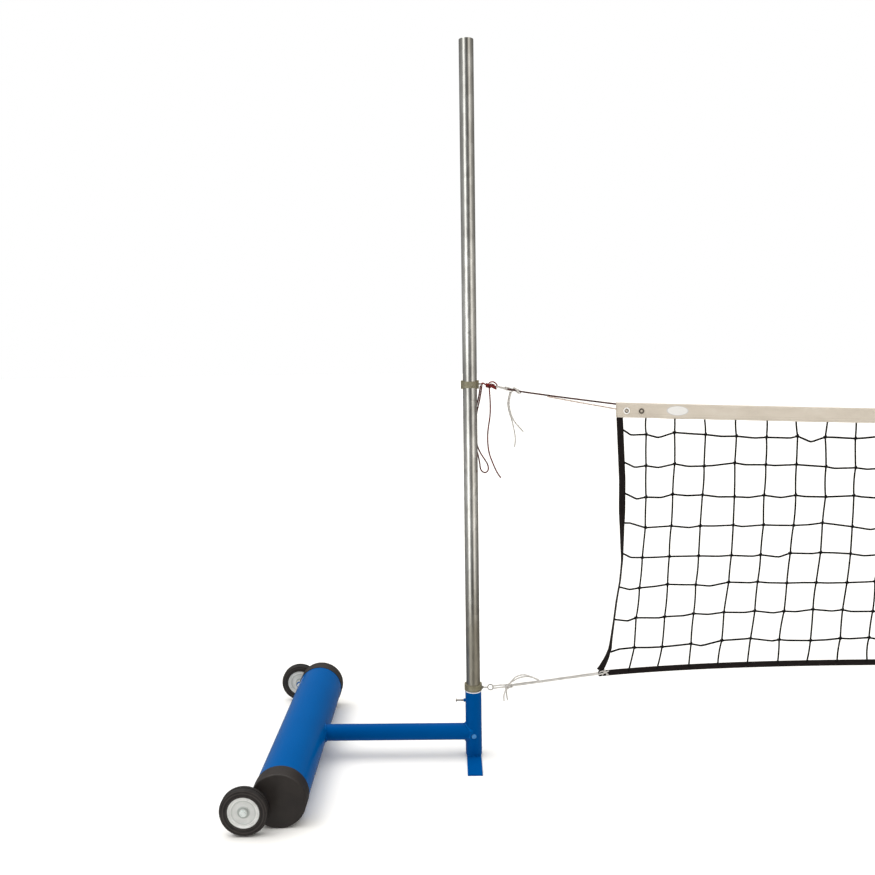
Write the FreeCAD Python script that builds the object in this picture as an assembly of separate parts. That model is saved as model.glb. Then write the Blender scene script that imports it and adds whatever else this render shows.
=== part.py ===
import FreeCAD, Part
import math
import os

# Volleyball net on two portable standards, in millimetres.
# +Z up, +X along the net, -Y the front; the origin is on the floor under the middle of the net.

# ---- driving dimensions -------------------------------------------------
NET_LENGTH = 9754.0        # 32 ft headband
NET_GAP = 495.0            # pole axis to the end of the headband
POLE_X = NET_LENGTH / 2 + NET_GAP
MESH = 101.6               # 4 in mesh
HEADBAND_H = 50.8
HEADBAND_T = 3.0
HEAD_Z = 1248.7            # top of the headband at its ends
HEAD_SAG = 100.0           # how far the middle of the headband hangs below its ends
DROP_MID = 880.0           # overall height of the net away from its corners
DROP_EXTRA = 84.0          # more than that at its two ends
DROP_FADE = 638.0
CORNER_PULL = 55.0         # how far the bottom corners are pulled towards the poles
MESH_T = 1.6
TAPE_W = 20.0
TAPE_T = 2.0

POLE_D = 48.3
POLE_WALL = 3.0
POLE_TOP = 2438.4          # 8 ft
STOP_Z = 81.0
STOP_D = 8.0
SOCKET_D = 57.15
SOCKET_ID = 49.8
SOCKET_TOP = 240.0
ARM_D = 57.0
ARM_WALL = 3.2
ARM_Z = 88.0
TUBE_X = -605.5            # base tube axis from the pole axis
TUBE_D = 168.3
TUBE_WALL = 7.1
TUBE_L = 914.4
CAP_D = 172.0
CAP_SKIRT = 50.0
CAP_FACE = 7.0
TUBE_Z = CAP_D / 2
FOOT_W = 50.8
FOOT_L = 304.8
FOOT_T = 6.35
WHEEL_X = -700.4           # wheel axle from the pole axis
WHEEL_Z = 76.6
WHEEL_R = 73.9
WHEEL_W = 30.0
WHEEL_Y = 512.5            # outer face of each wheel
HUB_R = 48.5
AXLE_D = 10.0
SCREW_Z = 203.0
SCREW_D = 6.35            # 1/4 in, 20 threads to the inch
SCREW_PITCH = 1.27
COLLAR_BORE = 49.3
COLLAR_D = 60.0
UPPER_Z = 1316.0
LOWER_Z = 253.2
EYE_Z = 249.3

CORD_D = 4.8               # 3/16 in braided cord
CABLE_D = 6.0
LASH_D = 4.8

V = FreeCAD.Vector
X = V(1, 0, 0)
Y = V(0, 1, 0)
Z = V(0, 0, 1)
O = V(0, 0, 0)


def cyl(r, h, at, axis):
    return Part.makeCylinder(r, h, at, axis)


def box(x0, x1, y0, y1, z0, z1):
    return Part.makeBox(x1 - x0, y1 - y0, z1 - z0, V(x0, y0, z0))


def tube(r_out, r_in, h, at, axis):
    return cyl(r_out, h, at, axis).cut(cyl(r_in, h, at, axis))


def hexagon(across, h, at, axis):
    r = across / math.sqrt(3.0)
    pts = [V(r * math.cos(math.radians(60 * i)), r * math.sin(math.radians(60 * i)), 0) for i in range(7)]
    body = Part.Face(Part.makePolygon(pts)).extrude(V(0, 0, h))
    body.Placement = FreeCAD.Placement(at, FreeCAD.Rotation(Z, axis))
    return body


def ring(r_major, r_minor, at, axis):
    return Part.makeTorus(r_major, r_minor, at, axis)


def revolve_about_y(profile, at):
    # profile is a closed list of (radius, y)
    pts = [V(r, y, 0) for r, y in profile]
    pts.append(pts[0])
    solid = Part.Face(Part.makePolygon(pts)).revolve(O, Y, 360)
    solid.translate(at)
    return solid


def placed(shape, side):
    # the right standard is the left one turned half way round
    s = shape.copy()
    if side == "right":
        s.rotate(O, Z, 180)
        s.translate(V(POLE_X, 0, 0))
    else:
        s.translate(V(-POLE_X, 0, 0))
    return s


def mirrored(shape, side):
    # cords and net fittings are mirrored, so both sides show the same face
    s = shape.copy()
    s.translate(V(-POLE_X, 0, 0))
    if side == "right":
        s = s.mirror(O, X)
    return s


def save(shape, name):
    shape.exportStep("parts/%s.step" % name)
    print("%-22s %d solids  %.0f mm3" % (name, len(shape.Solids), shape.Volume))


def group(shapes):
    flat = []
    for s in shapes:
        flat.extend(s.Solids)
    return Part.makeCompound(flat)


# ---- cords: straight runs joined by tangent arcs --------------------------
def cord(points, diameter, label):
    p = [V(*q) for q in points]
    edges = []
    here = p[0]
    smallest = 1e9
    for i in range(1, len(p) - 1):
        a = p[i] - p[i - 1]
        b = p[i + 1] - p[i]
        la = a.Length
        lb = b.Length
        a.normalize()
        b.normalize()
        turn = a.getAngle(b)
        cut = 0.45 * min(la, lb)
        radius = cut / math.tan(turn / 2)
        smallest = min(smallest, radius)
        start = p[i] - a * cut
        end = p[i] + b * cut
        bis = b - a
        bis.normalize()
        centre = p[i] + bis * (radius / math.cos(turn / 2))
        mid = centre - bis * radius
        edges.append(Part.LineSegment(here, start).toShape())
        edges.append(Part.Arc(start, mid, end).toShape())
        here = end
    edges.append(Part.LineSegment(here, p[-1]).toShape())
    wire = Part.Wire(edges)
    circle = Part.Wire([Part.Circle(p[0], p[1] - p[0], diameter / 2).toShape()])
    solid = wire.makePipeShell([circle], True, False)
    if solid.Volume < 0:
        solid.reverse()
    want = wire.Length * math.pi * diameter * diameter / 4
    print("cord %-14s length %.0f mm, smallest radius %.1f, volume ratio %.4f"
          % (label, wire.Length, smallest, solid.Volume / want))
    return solid


# ---- one standard ----------------------------------------------------------
def base_tube():
    return tube(TUBE_D / 2, TUBE_D / 2 - TUBE_WALL, TUBE_L, V(TUBE_X, -TUBE_L / 2, TUBE_Z), Y)


def end_caps():
    out = []
    for s in (-1, 1):
        face = TUBE_L / 2 + CAP_FACE
        depth = CAP_SKIRT + CAP_FACE
        body = cyl(CAP_D / 2, depth, V(TUBE_X, s * face, TUBE_Z), Y * -s)
        edge = [e for e in body.Edges if abs(e.CenterOfMass.y - s * face) < 0.5 and e.Closed]
        body = body.makeFillet(3.5, edge)
        bore = cyl(TUBE_D / 2 + 0.1, CAP_SKIRT + 1, V(TUBE_X, s * (TUBE_L / 2 + 0.1), TUBE_Z), Y * -s)
        out.append(body.cut(bore))
    return group(out)


def arm():
    a = tube(ARM_D / 2, ARM_D / 2 - ARM_WALL, -TUBE_X, V(TUBE_X, 0, ARM_Z), X)
    a = a.cut(cyl(TUBE_D / 2 + 0.1, 300, V(TUBE_X, -150, TUBE_Z), Y))
    a = a.cut(cyl(SOCKET_D / 2 + 0.1, 300, V(0, 0, -20), Z))
    return group([s for s in a.Solids if s.BoundBox.XLength > 300])


def socket():
    s = tube(SOCKET_D / 2, SOCKET_ID / 2, SOCKET_TOP - FOOT_T - 0.1, V(0, 0, FOOT_T + 0.1), Z)
    s = s.cut(cyl(STOP_D / 2 + 0.2, 100, V(0, -50, STOP_Z), Y))
    s = s.cut(cyl(SCREW_D / 2 + 0.3, 40, V(-50, 0, SCREW_Z), X))
    return s


def foot_plate():
    f = box(-FOOT_W / 2, FOOT_W / 2, -FOOT_L / 2, FOOT_L / 2, 0, FOOT_T)
    return f.makeChamfer(1.0, [e for e in f.Edges if abs(e.CenterOfMass.z - FOOT_T) < 0.01])


def weld_beads():
    size = 4.0
    arm_skin = tube(ARM_D / 2 + size, ARM_D / 2 + 0.1, -TUBE_X + 100, V(TUBE_X - 50, 0, ARM_Z), X)
    socket_skin = tube(SOCKET_D / 2 + size, SOCKET_D / 2 + 0.1, 160, V(0, 0, 10), Z)
    tube_skin = tube(TUBE_D / 2 + size, TUBE_D / 2 + 0.1, 160, V(TUBE_X, -80, TUBE_Z), Y)
    at_socket = arm_skin.common(socket_skin).common(box(-60, -1.5, -40, 40, 10, 170))
    at_tube = arm_skin.common(tube_skin).common(box(TUBE_X + 40, 0, -60, 60, 0, 200))
    at_foot = tube(SOCKET_D / 2 + 3.5, SOCKET_D / 2 + 0.1, 3.5, V(0, 0, FOOT_T + 0.1), Z)
    at_foot = at_foot.common(box(-FOOT_W / 2 + 1, FOOT_W / 2 - 1, -40, 40, 0, 20))
    # the bead stops short of the stop bolt's head and nut
    at_socket = at_socket.cut(cyl(11.2, 120, V(0, -60, STOP_Z), Y))
    return group([at_socket, at_tube, at_foot])


BRACKET_T = 5.0
BRACKET_Y = TUBE_L / 2 + CAP_FACE + 0.1


def wheel_brackets():
    out = []
    for s in (-1, 1):
        y = s * BRACKET_Y
        plate = cyl(12, BRACKET_T, V(WHEEL_X, y, WHEEL_Z), Y * s)
        y0 = min(y, y + s * BRACKET_T)
        y1 = max(y, y + s * BRACKET_T)
        plate = plate.fuse(box(WHEEL_X, WHEEL_X + 56, y0, y1, WHEEL_Z - 12, WHEEL_Z + 12))
        plate = plate.fuse(box(WHEEL_X + 30, WHEEL_X + 56, y0, y1, WHEEL_Z - 28, WHEEL_Z + 28))
        plate = plate.cut(cyl(AXLE_D / 2 + 0.1, 40, V(WHEEL_X, y - s * 5, WHEEL_Z), Y * s))
        for dz in (-18, 18):
            plate = plate.cut(cyl(3.2, 40, V(WHEEL_X + 43, y - s * 5, WHEEL_Z + dz), Y * s))
        out.append(plate.removeSplitter())
    return group(out)


def bracket_bolts():
    out = []
    for s in (-1, 1):
        for dz in (-18, 18):
            at = V(WHEEL_X + 43, s * (BRACKET_Y + BRACKET_T + 0.1), WHEEL_Z + dz)
            head = hexagon(10.0, 4.0, at, Y * s)
            shank = cyl(3.0, BRACKET_T + 0.05, at, Y * -s)
            out.append(head.fuse(shank))
    return group(out)


def tyre(s):
    r0 = HUB_R + 0.05
    r1 = WHEEL_R
    w = WHEEL_W / 2
    profile = [
        (r0, -w + 1.5), (r0 + 2.0, -w + 1.5), (r0 + 3.0, -w), (r1 - 6.0, -w), (r1 - 2.0, -w + 2.0),
        (r1, -w + 6.0), (r1, -3.5), (r1 - 1.8, -2.8), (r1 - 1.8, -1.0), (r1, -0.3),
        (r1, w - 6.0), (r1 - 2.0, w - 2.0), (r1 - 6.0, w), (r0 + 3.0, w), (r0 + 2.0, w - 1.5), (r0, w - 1.5),
    ]
    if s > 0:
        profile = [(r, -y) for r, y in profile][::-1]
    return revolve_about_y(profile, V(WHEEL_X, s * (WHEEL_Y - w), WHEEL_Z))


def hub(s):
    solids = []
    for k in (-1, 1):
        half = [
            (12.3, 10.2), (17.0, 10.2), (19.0, 8.4), (33.0, 8.4), (35.5, 10.2), (39.0, 10.2), (41.0, 8.6),
            (44.0, 8.6), (46.0, 13.2), (48.4, 13.2), (48.4, 0.1), (46.8, 0.1), (46.8, 10.6), (45.2, 7.0),
            (40.2, 7.0), (38.2, 8.6), (36.3, 8.6), (33.8, 6.8), (18.2, 6.8), (16.2, 8.6), (12.3, 8.6),
        ]
        half = [(r, k * y) for r, y in half]
        solids.append(revolve_about_y(half, V(WHEEL_X, s * (WHEEL_Y - WHEEL_W / 2), WHEEL_Z)))
    sleeve = tube(12.2, AXLE_D / 2 + 0.05, 26, V(WHEEL_X, s * (WHEEL_Y - WHEEL_W / 2) - 13, WHEEL_Z), Y)
    solids.append(sleeve)
    return group(solids)


def axle_bolts():
    # outer head and washer, shank, spacer between wheel and bracket, nut behind the bracket
    out = []
    for s in (-1, 1):
        outer = s * (WHEEL_Y - WHEEL_W / 2 + 13.2)
        inner = s * (WHEEL_Y - WHEEL_W / 2 - 13.2)
        back = s * (BRACKET_Y - 8.0)
        out.append(tube(11.0, AXLE_D / 2, 1.6, V(WHEEL_X, outer, WHEEL_Z), Y * s))
        head = hexagon(15.0, 6.4, V(WHEEL_X, outer + s * 1.7, WHEEL_Z), Y * s)
        shank = cyl(AXLE_D / 2, abs(outer + s * 1.7 - back), V(WHEEL_X, outer + s * 1.7, WHEEL_Z), Y * -s)
        out.append(head.fuse(shank))
        near = s * (BRACKET_Y + BRACKET_T + 0.1)
        out.append(tube(8.0, AXLE_D / 2, abs(inner - near), V(WHEEL_X, inner, WHEEL_Z), Y * -s))
        nut = hexagon(14.6, 6.8, V(WHEEL_X, s * (BRACKET_Y - 0.1), WHEEL_Z), Y * -s)
        out.append(nut.cut(cyl(AXLE_D / 2, 20, V(WHEEL_X, s * (BRACKET_Y + 2), WHEEL_Z), Y * -s)))
    return group(out)


def stop_bolt():
    r = SOCKET_D / 2
    dome = Part.makeSphere(10.4, V(0, -r + 4.9, STOP_Z))
    head = dome.common(box(-12, 12, -r - 8, -r - 0.6, STOP_Z - 12, STOP_Z + 12))
    shank = cyl(STOP_D / 2, 2 * r + 14, V(0, -r - 0.6, STOP_Z), Y)
    nut = hexagon(13.0, 6.5, V(0, r + 0.6, STOP_Z), Y).cut(cyl(STOP_D / 2 + 0.05, 20, V(0, r, STOP_Z), Y))
    return group([head.fuse(shank), nut])


def weld_nut():
    n = hexagon(11.0, 6.0, V(-SOCKET_D / 2 - 6.2, 0, SCREW_Z), X)
    n = n.cut(cyl(SOCKET_D / 2 + 0.1, 40, V(0, 0, SCREW_Z - 20), Z))
    return n.cut(cyl(SCREW_D / 2 + 0.1, 60, V(-60, 0, SCREW_Z), X))


SCREW_HEAD_X = -58.0


def screw_shank():
    tip = -POLE_D / 2 - 0.15
    core = cyl(SCREW_D / 2 - 0.45, tip - SCREW_HEAD_X, V(SCREW_HEAD_X, 0, SCREW_Z), X)
    x = SCREW_HEAD_X + 3.0
    threads = []
    while x < tip - 2.0:
        threads.append(cyl(SCREW_D / 2, SCREW_PITCH / 2, V(x, 0, SCREW_Z), X))
        x += SCREW_PITCH
    return core.multiFuse(threads)


def screw_head():
    h = hexagon(9.5, 4.2, V(SCREW_HEAD_X - 4.3, 0, SCREW_Z), X)
    return h.fuse(cyl(6.0, 1.0, V(SCREW_HEAD_X - 1.1, 0, SCREW_Z), X))


def pole():
    bottom = STOP_Z + STOP_D / 2 + 0.1
    p = tube(POLE_D / 2, POLE_D / 2 - POLE_WALL, POLE_TOP - bottom, V(0, 0, bottom), Z)
    rims = [e for e in p.Edges if e.Closed and abs(e.CenterOfMass.z - POLE_TOP) < 0.1]
    return p.makeFillet(0.8, rims)


def collar(z, tall, waist):
    r = COLLAR_D / 2
    body = cyl(r - 1.5, waist, V(0, 0, z - waist / 2), Z)
    lugs = cyl(r + 0.8, tall, V(0, 0, z - tall / 2), Z)
    lugs = lugs.common(box(-40, -20, -14, 14, z - 40, z + 40).fuse(box(20, 40, -14, 14, z - 40, z + 40)))
    body = body.fuse(lugs).removeSplitter()
    return body.cut(cyl(COLLAR_BORE / 2, 80, V(0, 0, z - 40), Z))


def upper_eye():
    x0 = COLLAR_D / 2 + 0.9
    shank = cyl(2.6, 4.6, V(x0, 0, UPPER_Z + 2), X)
    loop = ring(6.0, 1.8, V(x0 + 9.2, 0, UPPER_Z + 2), Z)
    return shank.fuse(loop)


def lower_eye():
    x0 = COLLAR_D / 2 + 0.9
    base = Part.makeCone(6.2, 3.0, 6.0, V(x0, 0, EYE_Z), X)
    shank = cyl(1.8, 16.0, V(x0 + 5, 0, EYE_Z), X)
    loop = ring(9.6, 1.8, V(x0 + 29.8, 0, EYE_Z), V(0, -0.8, 0.6))
    return base.fuse(shank).fuse(loop)


# ---- the net ---------------------------------------------------------------
HALF = NET_LENGTH / 2


def head_top(x):
    k = abs(x) / HALF
    return HEAD_Z - HEAD_SAG * (1 - k * k)


def net_bottom(x):
    u = max(HALF - abs(x), -60.0)
    drop = DROP_MID + DROP_EXTRA * math.exp(-u / DROP_FADE)
    return head_top(min(abs(x), HALF)) - drop


def sideways(t, x):
    # how far a point at fraction t down the net is pulled towards the nearer pole
    k = max(0.0, (t - 0.38) / 0.62) ** 1.3
    return CORNER_PULL * k * (x / HALF) ** 2 * (1 if x > 0 else -1)


def net_point(x, t):
    # t is 0 at the headband's lower edge and 1 at the bottom tape
    top = head_top(x) - HEADBAND_H
    low = net_bottom(x) + TAPE_W
    return x + sideways(t, x), top + (low - top) * t


def spline(points):
    c = Part.BSplineCurve()
    c.interpolate([V(x, 0, z) for x, z in points])
    return c.toShape()


def slab(outline, thick):
    # outline: four lists of (x, z), end to end round the piece
    face = Part.Face(Part.Wire([spline(side) if len(side) > 2 else Part.makeLine(V(side[0][0], 0, side[0][1]),
                                V(side[1][0], 0, side[1][1])) for side in outline]))
    solid = face.extrude(V(0, thick, 0))
    solid.translate(V(0, -thick / 2, 0))
    return solid


def spread(a, b, n):
    return [a + (b - a) * i / n for i in range(n + 1)]


def headband():
    # eight lengths end to end
    out = []
    for i in range(8):
        a = -HALF + NET_LENGTH * i / 8
        b = -HALF + NET_LENGTH * (i + 1) / 8
        xs = spread(a, b - (0.05 if i < 7 else 0.0), 4)
        top = [(x, head_top(x)) for x in xs]
        low = [(x, head_top(x) - HEADBAND_H) for x in xs][::-1]
        out.append(slab([top, [top[-1], low[0]], low, [low[-1], top[0]]], HEADBAND_T))
    return group(out)


def bottom_line(up):
    out = []
    for x in spread(-HALF, HALF, 40):
        bx, bz = net_point(x, 1.0)
        out.append((bx, bz - TAPE_W + up))
    return out


def bottom_tape(thick=TAPE_T, spare=0.0):
    top = bottom_line(TAPE_W - 0.2 + spare)
    low = bottom_line(0.0)[::-1]
    return slab([top, [top[-1], low[0]], low, [low[-1], top[0]]], thick)


def above_bottom_tape(solid):
    # what is left of a piece once the bottom tape and a small gap are taken from it
    rest = solid.cut(bottom_tape(10.0, 0.2))
    return max(rest.Solids, key=lambda q: q.Volume)


SIDE_IN = 12.0             # the side tape's outer edge starts this far in from the headband's end


def side_line(inset):
    out = []
    for t in spread(0.0, 1.0, 10):
        x, z = net_point(-HALF + SIDE_IN, t)
        out.append((x + inset + 11.0 * math.sin(math.pi * min(t * 1.25, 1.0)), z - 0.2 + 0.5 * t))
    return out


def side_tape(side):
    outer = side_line(0.0)
    inner = side_line(TAPE_W)[::-1]
    tape = above_bottom_tape(slab([outer, [outer[-1], inner[0]], inner, [inner[-1], outer[0]]], TAPE_T))
    if side == "right":
        tape = tape.mirror(O, X)
    return tape


def mesh():
    left = side_line(TAPE_W + 0.3)
    top = [(x, head_top(x) - HEADBAND_H - 0.3) for x in spread(-HALF + 34, HALF - 34, 16)]
    left[0] = top[0]
    low = bottom_line(TAPE_W + 0.3)
    keep = [p for p in low if abs(p[0]) < abs(left[-1][0]) - 5]
    low = [left[-1]] + keep + [(-left[-1][0], left[-1][1])]
    right = [(-x, z) for x, z in left]
    return above_bottom_tape(slab([top, right, low[::-1], left[::-1]], MESH_T))


def grommets():
    out = []
    for s in (-1, 1):
        for d in (36.0, 86.5):
            x = s * (HALF - d)
            z = head_top(x) - HEADBAND_H * 0.55
            for y in (-1, 1):
                out.append(tube(9.0, 4.5, 1.2, V(x, y * (HEADBAND_T / 2 + 0.1), z), Y * y))
    return group(out)


# ---- cord routes, from the left pole's axis ----------------------------------
RED_BIGHT = [
    (42.0, -1.0, 1322.0), (38.5, 4.0, 1292.0), (33.0, 10.0, 1262.0), (26.0, 16.0, 1233.0), (21.0, 20.0, 1205.0),
    (19.5, 21.0, 1172.0), (20.5, 21.0, 1138.0), (22.0, 19.0, 1108.0), (32.0, 11.0, 1083.0), (46.0, 1.0, 1062.0),
    (59.0, -10.4, 1042.0), (60.4, -11.6, 1021.8), (46.8, -0.4, 1011.0), (33.2, 10.8, 1021.8), (31.5, 12.5, 1045.0),
    (25.0, 18.0, 1078.0), (16.5, 24.0, 1108.0), (14.0, 26.0, 1140.0), (13.5, 26.0, 1172.0), (15.0, 25.0, 1204.0),
    (20.5, 20.0, 1235.0), (28.0, 12.0, 1264.0), (33.0, 5.0, 1290.0), (35.6, -0.5, 1312.5),
]
RED_TAIL = [
    (65.0, -9.0, 1308.0), (67.5, -10.0, 1272.0), (68.5, -10.0, 1238.0), (67.0, -9.0, 1204.0), (61.0, -8.0, 1172.0),
    (58.0, -8.0, 1140.0), (59.0, -8.0, 1108.0), (63.5, -8.0, 1078.0), (74.0, -8.0, 1050.0), (83.0, -8.0, 1028.0),
    (92.0, -8.0, 1010.0), (102.0, -8.0, 996.0),
]
WHITE_LINK = [(88.0, 0.0, 1309.0), (107.0, 0.5, 1306.0), (128.0, -0.5, 1301.0), (152.0, 0.0, 1297.5)]
WHITE_TAIL_A = [
    (141.0, -4.0, 1290.0), (134.0, -5.0, 1268.0), (131.5, -5.0, 1246.0), (136.0, -5.0, 1222.0),
    (144.0, -5.0, 1198.0), (155.0, -5.0, 1181.0), (167.0, -5.0, 1168.0), (180.0, -5.0, 1153.0),
]
WHITE_TAIL_B = [
    (137.0, 3.0, 1290.0), (130.0, 3.0, 1267.0), (128.0, 3.0, 1245.0), (132.5, 2.0, 1221.0),
    (141.0, 1.0, 1196.0), (147.0, 0.0, 1170.0), (152.0, 0.0, 1144.0), (154.0, 0.0, 1122.0), (150.0, 0.0, 1101.0),
]
HEAD_CABLE = [(124.0, -6.5, 1300.0), (146.0, -6.5, 1295.5), (175.0, -3.0, 1289.5), (205.0, -1.0, 1284.5),
              (330.0, 0.0, 1265.5), (NET_GAP - 0.5, 0.0, 1242.6)]
LASH = [(262.0, -5.5, 1271.5), (340.0, -4.0, 1256.0), (420.0, -3.0, 1240.5), (NET_GAP - 0.5, -1.0, 1226.0)]
LOWER_MAIN = [(73.0, -3.2, 246.5), (122.0, -2.7, 252.0), (236.0, -2.5, 267.0), (338.0, -1.0, 280.0),
              (440.0, 0.0, 292.5)]
LOWER_SECOND = [(73.0, 3.2, 252.0), (97.0, 3.2, 256.5), (122.0, 2.7, 254.0), (175.0, 2.8, 262.5),
                (236.0, 2.9, 268.5), (338.0, 3.6, 283.2), (440.0, 2.6, 297.2)]
BOW_A = [(122.0, -9.0, 258.0), (136.0, -11.0, 279.0), (153.0, -12.0, 294.0), (177.0, -12.0, 299.0),
         (201.0, -11.0, 292.0), (222.0, -9.5, 279.5), (240.0, -8.2, 269.0)]
BOW_B = [(127.0, 8.5, 258.0), (146.0, 10.0, 271.0), (168.0, 11.0, 280.0), (191.0, 11.0, 283.0),
         (213.0, 10.0, 279.0), (232.0, 8.0, 270.5)]
LOWER_TAIL_A = [(116.0, -6.0, 246.0), (109.5, -8.0, 232.0), (106.5, -8.0, 216.0), (107.5, -8.0, 201.0)]
LOWER_TAIL_B = [(119.0, 5.0, 245.0), (117.0, 6.0, 229.0), (118.5, 6.0, 213.0), (121.0, 6.0, 198.0)]


def knots():
    out = []

    def ball(x, y, z, rx, ry, rz):
        s = Part.makeSphere(1.0)
        m = FreeCAD.Matrix()
        m.scale(rx, ry, rz)
        s = s.transformGeometry(m)
        s.translate(V(x, y, z))
        out.append(s)

    ball(72.0, 0.0, 1311.0, 17.0, 9.0, 10.5)
    ball(163.0, 0.0, 1291.0, 9.0, 8.0, 8.5)
    ball(122.5, 0.0, 252.5, 14.0, 10.0, 9.0)
    ball(452.0, 0.0, 297.0, 10.0, 7.0, 10.0)
    return group(out)


# ---- write everything --------------------------------------------------------
def main():
    os.makedirs("parts", exist_ok=True)
    for side in ("left", "right"):
        one = {
            "base_tube": base_tube(),
            "end_caps": end_caps(),
            "arm": arm(),
            "socket": socket(),
            "foot_plate": foot_plate(),
            "weld_beads": weld_beads(),
            "wheel_brackets": wheel_brackets(),
            "front_tyre": tyre(-1 if side == "left" else 1),
            "front_hub": hub(-1 if side == "left" else 1),
            "rear_tyre": tyre(1 if side == "left" else -1),
            "rear_hub": hub(1 if side == "left" else -1),
            "screw_shank": screw_shank(),
            "screw_head": screw_head(),
            "pole": pole(),
            "upper_collar": collar(UPPER_Z, 28.0, 22.0),
            "lower_collar": collar(LOWER_Z, 21.6, 18.6),
            "upper_eye": upper_eye(),
            "lower_eye": lower_eye(),
        }
        for name, shape in one.items():
            save(placed(shape, side), "%s_%s" % (side, name))
    both = {
        "bracket_bolts": bracket_bolts(),
        "axle_bolts": axle_bolts(),
        "stop_bolts": stop_bolt(),
        "weld_nuts": weld_nut(),
    }
    for name, shape in both.items():
        save(group([placed(shape, "left"), placed(shape, "right")]), name)

    save(headband(), "headband")
    save(mesh(), "mesh")
    save(bottom_tape(), "bottom_tape")
    save(side_tape("left"), "left_side_tape")
    save(side_tape("right"), "right_side_tape")
    save(grommets(), "grommets")

    red = group([cord(RED_BIGHT, CORD_D, "red bight"), cord(RED_TAIL, CORD_D, "red tail")])
    white = group([
        cord(WHITE_LINK, CORD_D, "white link"),
        cord(WHITE_TAIL_A, CORD_D, "white tail a"),
        cord(WHITE_TAIL_B, CORD_D, "white tail b"),
        cord(LASH, LASH_D, "lash"),
    ])
    cable = cord(HEAD_CABLE, CABLE_D, "head cable")
    lower = group([
        cord(LOWER_MAIN, CORD_D, "lower main"),
        cord(LOWER_SECOND, CORD_D, "lower second"),
        cord(BOW_A, CORD_D, "bow a"),
        cord(BOW_B, CORD_D, "bow b"),
        cord(LOWER_TAIL_A, CORD_D, "lower tail a"),
        cord(LOWER_TAIL_B, CORD_D, "lower tail b"),
    ])
    for side in ("left", "right"):
        save(mirrored(red, side), side + "_red_cord")
        save(mirrored(white, side), side + "_white_cord")
        save(mirrored(cable, side), side + "_head_cable")
        save(mirrored(lower, side), side + "_lower_cord")
        save(mirrored(knots(), side), side + "_knots")


main()
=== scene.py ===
import bpy
import math
import random
from mathutils import Matrix, Vector

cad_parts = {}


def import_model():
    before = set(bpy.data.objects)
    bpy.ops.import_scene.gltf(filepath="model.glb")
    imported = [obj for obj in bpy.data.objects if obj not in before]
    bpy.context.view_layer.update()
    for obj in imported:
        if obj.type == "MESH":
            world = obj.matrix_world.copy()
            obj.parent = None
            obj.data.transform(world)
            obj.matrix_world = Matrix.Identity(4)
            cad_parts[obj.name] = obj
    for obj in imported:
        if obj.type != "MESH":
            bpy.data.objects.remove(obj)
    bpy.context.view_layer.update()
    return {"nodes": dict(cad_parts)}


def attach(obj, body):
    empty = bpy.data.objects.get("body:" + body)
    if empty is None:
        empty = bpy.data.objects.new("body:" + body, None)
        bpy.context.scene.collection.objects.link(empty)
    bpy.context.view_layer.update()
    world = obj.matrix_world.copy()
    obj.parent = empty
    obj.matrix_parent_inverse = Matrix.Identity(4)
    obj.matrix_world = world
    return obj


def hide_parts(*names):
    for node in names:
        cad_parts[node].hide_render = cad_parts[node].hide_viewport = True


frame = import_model()

SIDES = ("left", "right")
POLE_X = 5.372      # each pole's axis, from the middle of the net
HALF = 4.877        # half the net's length


def side_point(side, p):
    """A point given from the left pole's axis, placed on the side it belongs to."""
    x, y, z = p
    return (x - POLE_X, y, z) if side == "left" else (POLE_X - x, y, z)


# ---- camera, solved from the photo ---------------------------------------------
FRAME_PX, FOCAL_PX = 875, 865
SENSOR = 36                                     # mm
YAW, PITCH, ROLL = -0.0141, 0.1074, 0.0154      # radians
EYE = (-POLE_X - 0.0711, -2.9394, 1.4537)


def make_camera():
    level = Vector((math.sin(YAW), math.cos(YAW), 0))
    level_right = Vector((math.cos(YAW), -math.sin(YAW), 0))
    zenith = Vector((0, 0, 1))
    forward = level * math.cos(PITCH) - zenith * math.sin(PITCH)
    upright = zenith * math.cos(PITCH) + level * math.sin(PITCH)
    right = level_right * math.cos(ROLL) - upright * math.sin(ROLL)
    up = level_right * math.sin(ROLL) + upright * math.cos(ROLL)
    cam = bpy.data.objects.new("camera", bpy.data.cameras.new("camera"))
    cam.data.sensor_width = SENSOR
    cam.data.lens = SENSOR * FOCAL_PX / FRAME_PX
    cam.data.clip_end = 200
    m = Matrix((right, up, -forward)).transposed().to_4x4()
    m.translation = Vector(EYE)
    cam.matrix_world = m
    bpy.context.scene.collection.objects.link(cam)
    bpy.context.scene.camera = cam


make_camera()


# ---- node material helpers -----------------------------------------------------
def shade(v):
    return (v, v, v)


BLACK, WHITE = shade(0), shade(1)


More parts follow.
